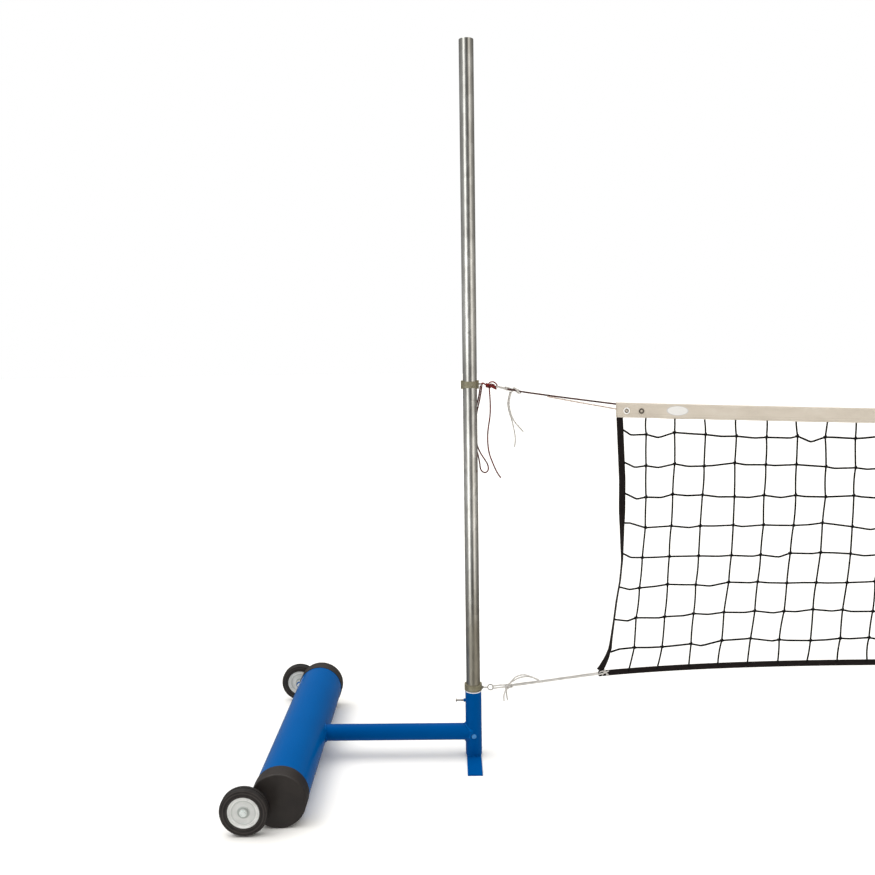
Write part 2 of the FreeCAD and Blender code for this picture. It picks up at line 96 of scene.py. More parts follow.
class Mat:
    """A principled material (m), with short ways of adding nodes in front of its shader."""

    def __init__(self, name, rough=0.5, metal=0.0, spec=0.5):
        self.m = bpy.data.materials.new(name)
        self.m.use_nodes = True
        self.t = self.m.node_tree
        self.b = self.t.nodes["Principled BSDF"]
        self.b.inputs["Roughness"].default_value = rough
        self.b.inputs["Metallic"].default_value = metal
        self.b.inputs["Specular IOR Level"].default_value = spec

    def node(self, kind, **values):
        n = self.t.nodes.new(kind)
        for k, v in values.items():
            if k in n.inputs:
                n.inputs[k].default_value = v
            else:
                setattr(n, k, v)
        return n

    def link(self, a, b):
        self.t.links.new(a, b)

    def coords(self, which="Object", scale=(1, 1, 1), rotation=(0, 0, 0)):
        c = self.node("ShaderNodeTexCoord")
        p = self.node("ShaderNodeMapping")
        p.inputs["Scale"].default_value = scale
        p.inputs["Rotation"].default_value = rotation
        self.link(c.outputs[which], p.inputs["Vector"])
        return p.outputs["Vector"]

    def noise(self, scale, detail=3.0, rough=0.5, at=None):
        n = self.node("ShaderNodeTexNoise", Scale=scale, Detail=detail, Roughness=rough)
        self.link(at or self.coords(), n.inputs["Vector"])
        return n.outputs["Fac"]

    def ramp(self, fac, stops):
        r = self.node("ShaderNodeValToRGB")
        e = r.color_ramp.elements
        while len(e) < len(stops):
            e.new(0.5)
        for i, (pos, col) in enumerate(stops):
            e[i].position = pos
            e[i].color = (*col, 1)
        self.link(fac, r.inputs["Fac"])
        return r.outputs["Color"]

    def grey(self, fac, a, b, lo=0.0, hi=1.0):
        n = self.node("ShaderNodeMapRange")
        n.inputs["From Min"].default_value = lo
        n.inputs["From Max"].default_value = hi
        n.inputs["To Min"].default_value = a
        n.inputs["To Max"].default_value = b
        self.link(fac, n.inputs["Value"])
        return n.outputs["Result"]

    def mix(self, fac, a, b, blend="MIX"):
        n = self.node("ShaderNodeMix", data_type="RGBA", blend_type=blend)

        def put(index, value):
            if hasattr(value, "is_output"):
                self.link(value, n.inputs[index])
            elif isinstance(value, (int, float)):
                n.inputs[index].default_value = value
            else:
                n.inputs[index].default_value = (*value, 1)
        put(0, fac)
        put(6, a)
        put(7, b)
        return n.outputs[2]

    def math(self, op, a, b=None):
        n = self.node("ShaderNodeMath", operation=op)
        for i, v in enumerate((a, b)):
            if v is None:
                continue
            if hasattr(v, "is_output"):
                self.link(v, n.inputs[i])
            else:
                n.inputs[i].default_value = v
        return n.outputs[0]

    def radius(self):
        """0 at the middle of the node's own box, 1 at its rim, round the Y axis."""
        sep = self.node("ShaderNodeSeparateXYZ")
        self.link(self.node("ShaderNodeTexCoord").outputs["Generated"], sep.inputs[0])
        dx = self.math("SUBTRACT", sep.outputs[0], 0.5)
        dz = self.math("SUBTRACT", sep.outputs[2], 0.5)
        d = self.math("ADD", self.math("MULTIPLY", dx, dx), self.math("MULTIPLY", dz, dz))
        return self.math("MULTIPLY", self.math("SQRT", d), 2.0)

    def height(self):
        """0 at the foot of the node's own box, 1 at its top."""
        sep = self.node("ShaderNodeSeparateXYZ")
        self.link(self.node("ShaderNodeTexCoord").outputs["Generated"], sep.inputs[0])
        return sep.outputs[2]

    def color(self, out):
        self.link(out, self.b.inputs["Base Color"])

    def rough(self, out):
        self.link(out, self.b.inputs["Roughness"])

    def bump(self, height, distance, strength=1.0):
        n = self.node("ShaderNodeBump", Strength=strength, Distance=distance)
        self.link(height, n.inputs["Height"])
        self.link(n.outputs["Normal"], self.b.inputs["Normal"])


# ---- materials -------------------------------------------------------------------
ENAMEL_GLOSS = (0.0, 0.30, 1.0, 1)      # colour of the enamel's reflections
PALE_RIM_FROM = 0.990                       # share of the socket's height where its pale rim starts


def paint(name, lo, hi, spec=0.06, pale_rim=False):
    """Brushed-on enamel between two blues: slow changes of tone, a few scuffs, a soft unevenness."""
    m = Mat(name, rough=0.2, spec=spec)
    m.b.inputs["Specular Tint"].default_value = ENAMEL_GLOSS
    base = m.ramp(m.noise(2.2, 3), [(0.3, lo), (0.7, hi)])
    scuff = m.ramp(m.noise(55, 6, 0.65), [(0.66, BLACK), (0.74, WHITE)])
    tone = m.mix(m.math("MULTIPLY", scuff, 0.08), base, (0.02, 0.15, 0.42))
    if pale_rim:
        # the mouth of the tube is near white at its top rim
        tone = m.mix(m.math("GREATER_THAN", m.height(), PALE_RIM_FROM), tone, (0.86, 0.86, 0.88))
    m.color(tone)
    m.rough(m.grey(m.noise(7, 4), 0.15, 0.25, 0.3, 0.7))
    m.bump(m.math("ADD", m.noise(9, 2), m.math("MULTIPLY", m.noise(260, 2), 0.06)), 0.0011, 0.5)
    return m.m


def weld_paint():
    m = Mat("blue_enamel_weld", rough=0.25, spec=0.16)
    m.b.inputs["Specular Tint"].default_value = ENAMEL_GLOSS
    c = m.noise(130, 2)
    m.color(m.ramp(c, [(0.3, (0.0, 0.060, 0.240)), (0.75, (0.0, 0.100, 0.340))]))
    m.bump(c, 0.004, 0.9)
    return m.m


def hub_metal():
    """Pale pressed wheel disc with faint turned rings, darkened as painted shade, and painted shade round
    the centre nut.
    """
    m = Mat("hub_bright_zinc", rough=0.42, metal=0.35)
    n = m.noise(45, 3, 0.5)
    tone = m.ramp(n, [(0.3, (0.72, 0.725, 0.71)), (0.7, (0.86, 0.865, 0.85))])
    # rings give the pressed relief in the bump; in the colour they are painted shade, darkest round the
    # centre nut
    rings = m.ramp(m.radius(), [(0.24, shade(0.35)), (0.28, WHITE), (0.35, WHITE), (0.42, shade(0.2)),
                                (0.66, shade(0.24)), (0.76, shade(0.7)), (0.80, BLACK), (0.93, BLACK),
                                (1.0, shade(0.47))])
    m.color(m.mix(m.math("MULTIPLY", rings, 0.95), tone, (0.38, 0.41, 0.39)))
    m.rough(m.grey(n, 0.36, 0.5, 0.3, 0.7))
    m.bump(m.math("SUBTRACT", m.math("MULTIPLY", m.noise(300, 2), 0.2), rings), 0.0006, 0.5)
    return m.m


def cap_plastic():
    m = Mat("cap_brown_black", rough=0.45, spec=0.38)
    n = m.noise(14, 5, 0.6)
    m.color(m.ramp(n, [(0.25, (0.013, 0.0100, 0.0090)), (0.75, (0.027, 0.0210, 0.0175))]))
    m.rough(m.grey(m.noise(30, 4), 0.42, 0.6, 0.3, 0.7))
    m.bump(m.noise(420, 3), 0.0004, 0.5)
    return m.m


def rubber():
    m = Mat("tyre_rubber_dark", rough=0.62, spec=0.25)
    n = m.noise(28, 5, 0.65)
    tone = m.ramp(n, [(0.3, (0.009, 0.008, 0.008)), (0.72, (0.026, 0.022, 0.020))])
    # rings give raised steps on the sidewall in the bump; their paler colour is a painted highlight on the
    # step edges
    rings = m.ramp(m.radius(), [(0.66, BLACK), (0.70, shade(0.7)), (0.73, BLACK), (0.80, BLACK),
                                (0.835, WHITE), (0.865, shade(0.1)), (0.91, BLACK), (0.94, shade(0.8)),
                                (0.965, BLACK)])
    m.color(m.mix(m.math("MULTIPLY", rings, 0.55), tone, (0.080, 0.066, 0.060)))
    m.rough(m.grey(m.noise(60, 4), 0.5, 0.75, 0.3, 0.7))
    m.bump(m.math("ADD", m.math("MULTIPLY", m.noise(600, 3), 0.3), rings), 0.0010, 0.6)
    return m.m


def zinc(name, lo, hi, rough, size, metal=1.0):
    """Plain metal that varies between two tones, in patches of 1/size m."""
    m = Mat(name, rough=rough, metal=metal)
    n = m.noise(size, 4, 0.6)
    m.color(m.ramp(n, [(0.3, lo), (0.7, hi)]))
    m.rough(m.grey(m.noise(size * 2, 3), rough * 0.75, rough * 1.4, 0.3, 0.7))
    m.bump(m.noise(size * 4, 3), 0.0003, 0.5)
    return m.m


def galvanised():
    """Pole tube: spangle, run marks, two lengths with a painted highlight, and painted shade towards its
    foot.
    """
    m = Mat("galvanised_spangle", rough=0.2, metal=1.0)
    v = m.node("ShaderNodeTexVoronoi", Scale=1.0)
    m.link(m.coords(scale=(70, 70, 28)), v.inputs["Vector"])
    grain = m.node("ShaderNodeSeparateColor")
    m.link(v.outputs["Color"], grain.inputs[0])
    cloud = m.noise(1.0, 5, 0.6, m.coords(scale=(30, 30, 9)))
    spangle = m.math("ADD", m.math("MULTIPLY", grain.outputs[0], 0.35), m.math("MULTIPLY", cloud, 0.9))
    tone = m.ramp(spangle,
                  [(0.25, (0.64, 0.625, 0.585)), (0.62, (0.84, 0.83, 0.79)), (0.85, (0.985, 0.98, 0.94))])
    drip = m.ramp(m.noise(1.0, 4, 0.6, m.coords(scale=(60, 60, 3))), [(0.62, BLACK), (0.75, WHITE)])
    tone = m.mix(m.math("MULTIPLY", drip, 0.22), tone, (0.46, 0.445, 0.39))
    # painted highlight: two lengths of the tube are painted brighter, standing in for reflected studio
    # light, and made duller than the rest
    bright = m.ramp(m.height(), [(0.26, BLACK), (0.31, WHITE), (0.43, WHITE), (0.475, BLACK),
                                 (0.55, BLACK), (0.585, WHITE), (0.70, WHITE), (0.735, BLACK)])
    tone = m.mix(1.0, tone, m.mix(bright, shade(0.785), WHITE), "MULTIPLY")
    # painted shade: the tube is darker and warmer towards its foot, and a little darker at its top end
    painted_shade_by_height = m.ramp(m.height(),
                   [(0.16, (0.56, 0.53, 0.46)), (0.25, WHITE), (0.97, WHITE), (1.0, (0.9, 0.9, 0.88))])
    m.color(m.mix(1.0, tone, painted_shade_by_height, "MULTIPLY"))
    dull = m.grey(m.height(), 0.34, 0.0, 0.15, 0.24)
    soft = m.math("ADD", dull, m.math("MULTIPLY", bright, 0.09))
    m.rough(m.math("ADD", m.grey(spangle, 0.08, 0.19, 0.3, 0.9), soft))
    m.bump(m.noise(1.0, 3, 0.5, m.coords(scale=(160, 160, 50))), 0.0004, 0.5)
    return m.m


def casting():
    """Dull cast collars with rust stains."""
    m = Mat("cast_collar_dull", rough=0.52, metal=0.75)
    n = m.noise(75, 5, 0.65)
    tone = m.ramp(n, [(0.3, (0.23, 0.210, 0.140)), (0.55, (0.34, 0.315, 0.220)), (0.8, (0.47, 0.44, 0.33))])
    stain = m.ramp(m.noise(38, 3), [(0.60, BLACK), (0.72, WHITE)])
    m.color(m.mix(m.math("MULTIPLY", stain, 0.5), tone, (0.36, 0.22, 0.09)))
    m.bump(m.noise(240, 4, 0.6), 0.0012, 0.7)
    return m.m


def webbing():
    m = Mat("webbing_black", rough=0.85, spec=0.12)
    m.b.inputs["Sheen Weight"].default_value = 0.04
    chk = m.node("ShaderNodeTexChecker", Scale=1.0)
    m.link(m.coords("UV", scale=(620, 500, 1), rotation=(0, 0, 0.78)), chk.inputs["Vector"])
    lint = m.noise(1.0, 4, 0.6, m.coords("UV", scale=(160, 60, 1)))
    tone = m.ramp(lint, [(0.35, (0.006, 0.004, 0.004)), (0.75, (0.017, 0.012, 0.011))])
    m.color(m.mix(m.math("MULTIPLY", chk.outputs["Fac"], 0.35), tone, (0.012, 0.008, 0.008)))
    m.bump(chk.outputs["Fac"], 0.0006, 0.7)
    return m.m


def twine():
    m = Mat("twine_black", rough=0.85, spec=0.08)
    uv = m.coords("UV", scale=(1, 190, 1))
    w = m.node("ShaderNodeTexWave", wave_type="BANDS", bands_direction="DIAGONAL", Scale=1.0, Distortion=0.6)
    m.link(uv, w.inputs["Vector"])
    fuzz = m.noise(420, 3)
    m.color(m.mix(m.grey(fuzz, 0, 0.6, 0.4, 0.8), shade(0.004), shade(0.018)))
    m.bump(w.outputs["Fac"], 0.0008, 0.8)
    return m.m


def braid(name, dark, light, picks, marl=None):
    """A braided cord, picks to the metre; the UV runs round the cord and in metres along it."""
    m = Mat(name, rough=0.75, spec=0.25)
    m.b.inputs["Sheen Weight"].default_value = 0.2
    heights = []
    for sign in (1, -1):
        w = m.node("ShaderNodeTexWave", wave_type="BANDS", bands_direction="DIAGONAL", Scale=1.0)
        m.link(m.coords("UV", scale=(3.0 * sign, picks, 1)), w.inputs["Vector"])
        heights.append(w.outputs["Fac"])
    h = m.math("MAXIMUM", heights[0], heights[1])
    tone = m.mix(h, dark, light)
    if marl:
        fleck = m.ramp(m.noise(1.0, 3, 0.6, m.coords("UV", scale=(4, picks * 0.9, 1))),
                       [(0.52, BLACK), (0.58, WHITE)])
        tone = m.mix(fleck, tone, marl)
    m.color(tone)
    m.bump(h, 0.0007, 0.7)
    return m.m


PATCH_X = 4.668                     # middle of the plain pale patch, from the middle of the band
PATCH_DOWN = 0.0235                 # and down from the band's top edge
PATCH_HALF = (0.038, 0.0165)
STITCH_ROWS = (0.0375, 0.0445)      # down from the band's top edge
STITCHES_PER_M = 250


def vinyl():
    """Headband: soiled cloth-backed vinyl, UV in metres (along, down from the top edge)."""
    m = Mat("headband_vinyl", rough=0.55, spec=0.3)
    soil = m.noise(1.0, 5, 0.6, m.coords(scale=(9, 9, 22)))
    tone = m.ramp(soil,
                  [(0.25, (0.56, 0.500, 0.420)), (0.55, (0.63, 0.565, 0.480)), (0.8, (0.69, 0.640, 0.56))])
    weave = m.node("ShaderNodeTexChecker", Scale=1.0)
    m.link(m.coords("UV", scale=(900, 900, 1)), weave.inputs["Vector"])
    uv = m.node("ShaderNodeTexCoord").outputs["UV"]
    sep = m.node("ShaderNodeSeparateXYZ")
    m.link(uv, sep.inputs[0])
    # two rows of stitches near the lower edge
    dash = m.math("GREATER_THAN", m.math("FRACT", m.math("MULTIPLY", sep.outputs[0], STITCHES_PER_M)), 0.28)
    rows = None
    for at in STITCH_ROWS:
        near = m.math("LESS_THAN", m.math("ABSOLUTE", m.math("SUBTRACT", sep.outputs[1], at)), 0.0005)
        rows = near if rows is None else m.math("MAXIMUM", rows, near)
    stitch = m.math("MULTIPLY", dash, rows)
    # the plain oval patch near each end of the band
    px = m.math("DIVIDE", m.math("SUBTRACT", m.math("ABSOLUTE", sep.outputs[0]), PATCH_X), PATCH_HALF[0])
    py = m.math("DIVIDE", m.math("SUBTRACT", sep.outputs[1], PATCH_DOWN), PATCH_HALF[1])
    reach = m.math("ADD", m.math("MULTIPLY", px, px), m.math("MULTIPLY", py, py))
    tone = m.mix(stitch, tone, (0.50, 0.45, 0.36))
    patch = m.ramp(m.math("MULTIPLY", reach, 0.5), [(0.42, WHITE), (0.50, BLACK)])
    rim = m.ramp(m.math("MULTIPLY", reach, 0.5), [(0.36, BLACK), (0.44, WHITE), (0.50, BLACK)])
    tone = m.mix(patch, tone, (0.80, 0.79, 0.77))
    m.color(m.mix(m.math("MULTIPLY", rim, 0.6), tone, (0.42, 0.42, 0.45)))
    height = m.math("ADD", m.math("MULTIPLY", weave.outputs["Fac"], 0.12), m.math("MULTIPLY", rows, -0.8))
    m.bump(m.math("ADD", height, stitch), 0.0007, 0.6)
    return m.m


PAINT = paint("blue_enamel", (0.0, 0.078, 0.275), (0.0, 0.092, 0.320))
# the arm, foot plate, weld nuts and socket: the base tube's blue enamel, painted darker as shade on their
# upright faces
SHADED_FRAME_PAINT = paint("blue_enamel_frame_painted_shade", (0.0, 0.060, 0.228), (0.0, 0.071, 0.265))
SHADED_SOCKET_PAINT = paint("blue_enamel_socket", (0.0, 0.059, 0.228), (0.0, 0.070, 0.265), pale_rim=True)
# the stop bolts' domed heads: the same blue enamel, painted lighter as a highlight
HIGHLIT_BOLT_PAINT = paint("blue_enamel_bolt_painted_highlight", (0.055, 0.20, 0.46), (0.075, 0.25, 0.52), 0.4)
WELD = weld_paint()
CAP = cap_plastic()
RUBBER = rubber()
HUB = hub_metal()
HARDWARE = zinc("zinc_plate", (0.36, 0.36, 0.34), (0.56, 0.56, 0.54), 0.34, 140)
DARK_ZINC = zinc("zinc_weathered", (0.20, 0.19, 0.17), (0.42, 0.40, 0.36), 0.38, 140)
AXLE = zinc("axle_end_zinc", (0.70, 0.76, 0.74), (0.88, 0.92, 0.90), 0.35, 120, 0.4)
# the eyelets' brass, painted darker as shade round them
EYELET = zinc("brass_eyelet_painted_shade", (0.26, 0.21, 0.16), (0.58, 0.53, 0.46), 0.25, 200)
GALVANISED = galvanised()
CAST = casting()
WEBBING = webbing()
TWINE = twine()
VINYL = vinyl()
WASHER = zinc("washer_white", (0.86, 0.85, 0.82), (0.95, 0.94, 0.92), 0.5, 300, 0.0)
RED_CORD = braid("cord_red_black", (0.024, 0.0015, 0.0015), (0.170, 0.006, 0.005), 230,
                 marl=(0.010, 0.0015, 0.0015))
RED_BRIGHT = braid("cord_red", (0.060, 0.002, 0.002), (0.30, 0.008, 0.006), 230, marl=(0.022, 0.002, 0.002))
RED_TAIL_CORD = braid("cord_red_tail", (0.040, 0.002, 0.002), (0.185, 0.006, 0.005), 230,
                      marl=(0.014, 0.001, 0.001))
WHITE_CORD = braid("cord_white", (0.37, 0.350, 0.320), (0.67, 0.645, 0.61), 240)
PINK_CORD = braid("cord_white_pinkish", (0.36, 0.270, 0.225), (0.66, 0.540, 0.465), 240)
CABLE = braid("cable_cover", (0.014, 0.003, 0.0025), (0.072, 0.014, 0.011), 300)


# ---- mesh helpers ----------------------------------------------------------------
def smooth_path(points, steps):
    """Catmull-Rom through the points."""
    p = [Vector(q) for q in points]
    p = [p[0] * 2 - p[1]] + p + [p[-1] * 2 - p[-2]]
    out = []
    for i in range(1, len(p) - 2):
        a, b, c, d = p[i - 1], p[i], p[i + 1], p[i + 2]
        for k in range(steps):
            t = k / steps
            square = 2 * a - 5 * b + 4 * c - d
            cube = 3 * b - a - 3 * c + d
            out.append(0.5 * ((2 * b) + (c - a) * t + square * t * t + cube * t ** 3))
    out.append(p[-2])
    return out


class Build:
    """Collects swept tubes and strips into one mesh with UVs of (round, metres along)."""

    def __init__(self):
        self.v = []
        self.f = []
        self.uv = []

    def tube(self, path, radius, sides=7):
        path = [Vector(q) for q in path]
        start = len(self.v)
        along = 0.0
        lengths = []
        normal = None
        for i, p in enumerate(path):
            t = path[min(i + 1, len(path) - 1)] - path[max(i - 1, 0)]
            t.normalize()
            if normal is None:
                normal = t.orthogonal().normalized()
            normal = (normal - t * normal.dot(t)).normalized()
            other = t.cross(normal)
            if i:
                along += (p - path[i - 1]).length
            lengths.append(along)
            for k in range(sides):
                a = math.tau * k / sides
                self.v.append(p + (normal * math.cos(a) + other * math.sin(a)) * radius)
        for i in range(len(path) - 1):
            for k in range(sides):
                a = start + i * sides + k
                b = start + i * sides + (k + 1) % sides
                self.f.append((a, b, b + sides, a + sides))
                u0, u1 = k / sides, (k + 1) / sides
                self.uv.append(((u0, lengths[i]), (u1, lengths[i]), (u1, lengths[i + 1]),
                                (u0, lengths[i + 1])))
        for base, order in ((start, -1), (start + (len(path) - 1) * sides, 1)):
            self.f.append(tuple([base + k for k in range(sides)][::order]))
            self.uv.append(tuple((k / sides, 0.0) for k in range(sides)))

    def ball(self, centre, r, squash):
        rings, sides = 5, 8
        start = len(self.v)
        c = Vector(centre)
        self.v.append(c + Vector((0, 0, r * squash[2])))
        for i in range(1, rings):
            a = math.pi * i / rings
            for k in range(sides):
                b = math.tau * k / sides
                self.v.append(c + Vector((r * squash[0] * math.sin(a) * math.cos(b),
                                          r * squash[1] * math.sin(a) * math.sin(b),
                                          r * squash[2] * math.cos(a))))
        self.v.append(c - Vector((0, 0, r * squash[2])))
        last = len(self.v) - 1
        for k in range(sides):
            n = (k + 1) % sides
            self.f.append((start, start + 1 + k, start + 1 + n))
            self.uv.append(((0, 0), (k / sides, r), (n / sides, r)))
            for i in range(rings - 2):
                a = start + 1 + i * sides
                self.f.append((a + k, a + sides + k, a + sides + n, a + n))
                self.uv.append(((k / sides, i * r), (k / sides, i * r + r), (n / sides, i * r + r),
                                (n / sides, i * r)))
            a = start + 1 + (rings - 2) * sides
            self.f.append((a + k, last, a + n))
            self.uv.append(((k / sides, r), (0, 0), (n / sides, r)))

    def object(self, name, material, slot, nodes, smooth=True):
        """The finished piece; all of them belong to the net."""
        mesh = bpy.data.meshes.new(name)
        mesh.from_pydata([tuple(q) for q in self.v], [], self.f)
        layer = mesh.uv_layers.new(name="UVMap")
        i = 0
        for corners in self.uv:
            for uv in corners:
                layer.data[i].uv = uv
                i += 1
        mesh.validate()
        mesh.update()
        if smooth:
            mesh.shade_smooth()
        mesh.materials.append(material)
        o = bpy.data.objects.new(name, mesh)
        bpy.context.scene.collection.objects.link(o)
        return settle(o, nodes)


def settle(o, nodes):
    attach(o, "net")
    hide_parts(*nodes)
    return o


# ---- cords ------------------------------------------------------------------------
# routes in metres from the left pole's axis
CORD_D = 0.0048
CABLE_D = 0.006
RED_BIGHT = [
    (0.0420, -0.0010, 1.3220), (0.0385, 0.0040, 1.2920), (0.0330, 0.0100, 1.2620), (0.0260, 0.0160, 1.2330),
    (0.0210, 0.0200, 1.2050), (0.0195, 0.0210, 1.1720), (0.0205, 0.0210, 1.1380), (0.0220, 0.0190, 1.1080),
    (0.0320, 0.0110, 1.0830), (0.0460, 0.0010, 1.0620), (0.0590, -0.0104, 1.0420),
    (0.0604, -0.0116, 1.0218), (0.0468, -0.0004, 1.0110), (0.0332, 0.0108, 1.0218),
    (0.0315, 0.0125, 1.0450), (0.0250, 0.0180, 1.0780), (0.0165, 0.0240, 1.1080), (0.0140, 0.0260, 1.1400),
    (0.0135, 0.0260, 1.1720), (0.0150, 0.0250, 1.2040), (0.0205, 0.0200, 1.2350), (0.0280, 0.0120, 1.2640),
    (0.0330, 0.0050, 1.2900), (0.0356, -0.0005, 1.3125),
]
RED_TAIL = [
    (0.0650, -0.0090, 1.3080), (0.0675, -0.0100, 1.2720), (0.0685, -0.0100, 1.2380),
    (0.0670, -0.0090, 1.2040), (0.0610, -0.0080, 1.1720), (0.0580, -0.0080, 1.1400),
    (0.0590, -0.0080, 1.1080), (0.0635, -0.0080, 1.0780), (0.0740, -0.0080, 1.0500),
    (0.0830, -0.0080, 1.0280), (0.0920, -0.0080, 1.0100), (0.1020, -0.0080, 0.9960),
]
WHITE_LINK = [
    (0.0880, 0.0, 1.3090), (0.1070, 0.0005, 1.3060), (0.1280, -0.0005, 1.3010), (0.1520, 0.0, 1.2975),
]
WHITE_TAIL_A = [
    (0.1410, -0.0040, 1.2900), (0.1340, -0.0050, 1.2680), (0.1315, -0.0050, 1.2460),
    (0.1360, -0.0050, 1.2220), (0.1440, -0.0050, 1.1980), (0.1550, -0.0050, 1.1810),
    (0.1670, -0.0050, 1.1680), (0.1800, -0.0050, 1.1530),
]
WHITE_TAIL_B = [
    (0.1370, 0.0030, 1.2900), (0.1300, 0.0030, 1.2670), (0.1280, 0.0030, 1.2450), (0.1325, 0.0020, 1.2210),
    (0.1410, 0.0010, 1.1960), (0.1470, 0.0, 1.1700), (0.1520, 0.0, 1.1440), (0.1540, 0.0, 1.1220),
    (0.1500, 0.0, 1.1010),
]
HEAD_CABLE = [
    (0.1240, -0.0065, 1.3000), (0.1460, -0.0065, 1.2955), (0.1750, -0.0030, 1.2895),
    (0.2050, -0.0010, 1.2845), (0.3300, 0.0, 1.2655), (0.4945, 0.0, 1.2426),
]
LASH = [
    (0.2620, -0.0055, 1.2715), (0.3400, -0.0040, 1.2560), (0.4200, -0.0030, 1.2405),
    (0.4945, -0.0010, 1.2260),
]
LOWER_MAIN = [
    (0.0730, -0.0032, 0.2465), (0.1220, -0.0027, 0.2520), (0.2360, -0.0025, 0.2670),
    (0.3380, -0.0010, 0.2800), (0.4400, 0.0, 0.2925),
]
LOWER_SECOND = [
    (0.0730, 0.0032, 0.2520), (0.0970, 0.0032, 0.2565), (0.1220, 0.0027, 0.2540), (0.1750, 0.0028, 0.2625),
    (0.2360, 0.0029, 0.2685), (0.3380, 0.0036, 0.2832), (0.4400, 0.0026, 0.2972),
]
BOW_A = [
    (0.1220, -0.0090, 0.2580), (0.1360, -0.0110, 0.2790), (0.1530, -0.0120, 0.2940),
    (0.1770, -0.0120, 0.2990), (0.2010, -0.0110, 0.2920), (0.2220, -0.0095, 0.2795),
    (0.2400, -0.0082, 0.2690),
]
BOW_B = [
    (0.1270, 0.0085, 0.2580), (0.1460, 0.0100, 0.2710), (0.1680, 0.0110, 0.2800), (0.1910, 0.0110, 0.2830),
    (0.2130, 0.0100, 0.2790), (0.2320, 0.0080, 0.2705),
]
LOWER_TAIL_A = [
    (0.1160, -0.0060, 0.2460), (0.1095, -0.0080, 0.2320), (0.1065, -0.0080, 0.2160),
    (0.1075, -0.0080, 0.2010),
]
LOWER_TAIL_B = [
    (0.1190, 0.0050, 0.2450), (0.1170, 0.0060, 0.2290), (0.1185, 0.0060, 0.2130), (0.1210, 0.0060, 0.1980),
]

# name, route, diameter, real length, far end, stiffness, lay, material, slot, CAD node
CORDS = [
    ("red_bight", RED_BIGHT, CORD_D, 0.654, "object", "limp", "hanging", "red", "red_cord", "red_cord"),
    ("red_tail", RED_TAIL, CORD_D, 0.322, "bare", "limp", "hanging", "tail", "red_cord", "red_cord"),
    ("white_link", WHITE_LINK, CORD_D, 0.065, "object", "limp", "taut", "white", "white_cord", "white_cord"),
    ("white_tail_a", WHITE_TAIL_A, CORD_D, 0.152, "bare", "limp", "hanging", "white", "white_cord",
     "white_cord"),
    ("white_tail_b", WHITE_TAIL_B, CORD_D, 0.193, "bare", "limp", "hanging", "white", "white_cord",
     "white_cord"),
    ("lash", LASH, CORD_D, 0.237, "object", "limp", "taut", "pink", "white_cord", "white_cord"),
    ("head_cable", HEAD_CABLE, CABLE_D, 0.375, "object", "medium", "taut", "cable", "cable_cover",
     "head_cable"),
    ("lower_main", LOWER_MAIN, CORD_D, 0.370, "object", "limp", "taut", "white", "white_cord", "lower_cord"),
    ("lower_second", LOWER_SECOND, CORD_D, 0.370, "object", "limp", "taut", "white", "white_cord",
     "lower_cord"),
    ("bow_a", BOW_A, CORD_D, 0.142, "object", "limp", "loose", "white", "white_cord", "lower_cord"),
    ("bow_b", BOW_B, CORD_D, 0.113, "object", "limp", "loose", "white", "white_cord", "lower_cord"),
    ("lower_tail_a", LOWER_TAIL_A, CORD_D, 0.047, "bare", "limp", "hanging", "white", "white_cord",
     "lower_cord"),
    ("lower_tail_b", LOWER_TAIL_B, CORD_D, 0.047, "bare", "limp", "hanging", "white", "white_cord",
     "lower_cord"),
]
CORD_MATERIAL = {"red": RED_CORD, "tail": RED_TAIL_CORD, "white": WHITE_CORD, "pink": PINK_CORD,
                 "cable": CABLE}


def make_cord(side, name, route, diameter, length, far_end, stiffness, lay, material, slot, node):
    curve = bpy.data.curves.new("%s_%s" % (side, name), "CURVE")
    curve.dimensions = "3D"
    spline = curve.splines.new("NURBS")
    spline.points.add(len(route) - 1)
    for p, q in zip(spline.points, route):
        p.co = (*side_point(side, q), 1)
    spline.order_u = 3
    spline.use_endpoint_u = True
    spline.resolution_u = 10
    curve.bevel_depth = diameter / 2
    curve.bevel_resolution = 3
    curve.use_fill_caps = True
    curve.materials.append(CORD_MATERIAL[material])
    o = bpy.data.objects.new("%s_%s_line" % (side, name), curve)
    bpy.context.scene.collection.objects.link(o)
    settle(o, ["%s_%s" % (side, node)])


for side in SIDES:
    for row in CORDS:
        make_cord(side, *row)


# ---- knots ------------------------------------------------------------------------
STRAND_R = 0.0024                   # strands of the red and the lower hitch
LINK_R, LOOSE_R = 0.0023, 0.0022    # strands of the white hitch, and its loose turns
LASHING_R = 0.0019
TURN_STEPS = 12
RING_STEPS = 16


def wraps(build, side, centre, axis_len, radius, turns, r, tilt, lift=0.0):
    """Turns of cord of radius r round a line that runs along X."""
    pts = []
    n = int(turns * TURN_STEPS)
    for i in range(n + 1):
        k = i / n
        a = math.tau * turns * k
        x = centre[0] - axis_len / 2 + axis_len * k + tilt * math.cos(a)
        y = centre[1] + radius * math.sin(a)
        z = centre[2] + radius * 1.05 * math.cos(a) + lift * (k - 0.5)
        pts.append(side_point(side, (x, y, z)))
    build.tube(smooth_path(pts, 2), r)


def lay(build, side, r, pts, steps=6):
    """One strand of radius r laid smoothly through the points."""
    build.tube(smooth_path([side_point(side, q) for q in pts], steps), r)


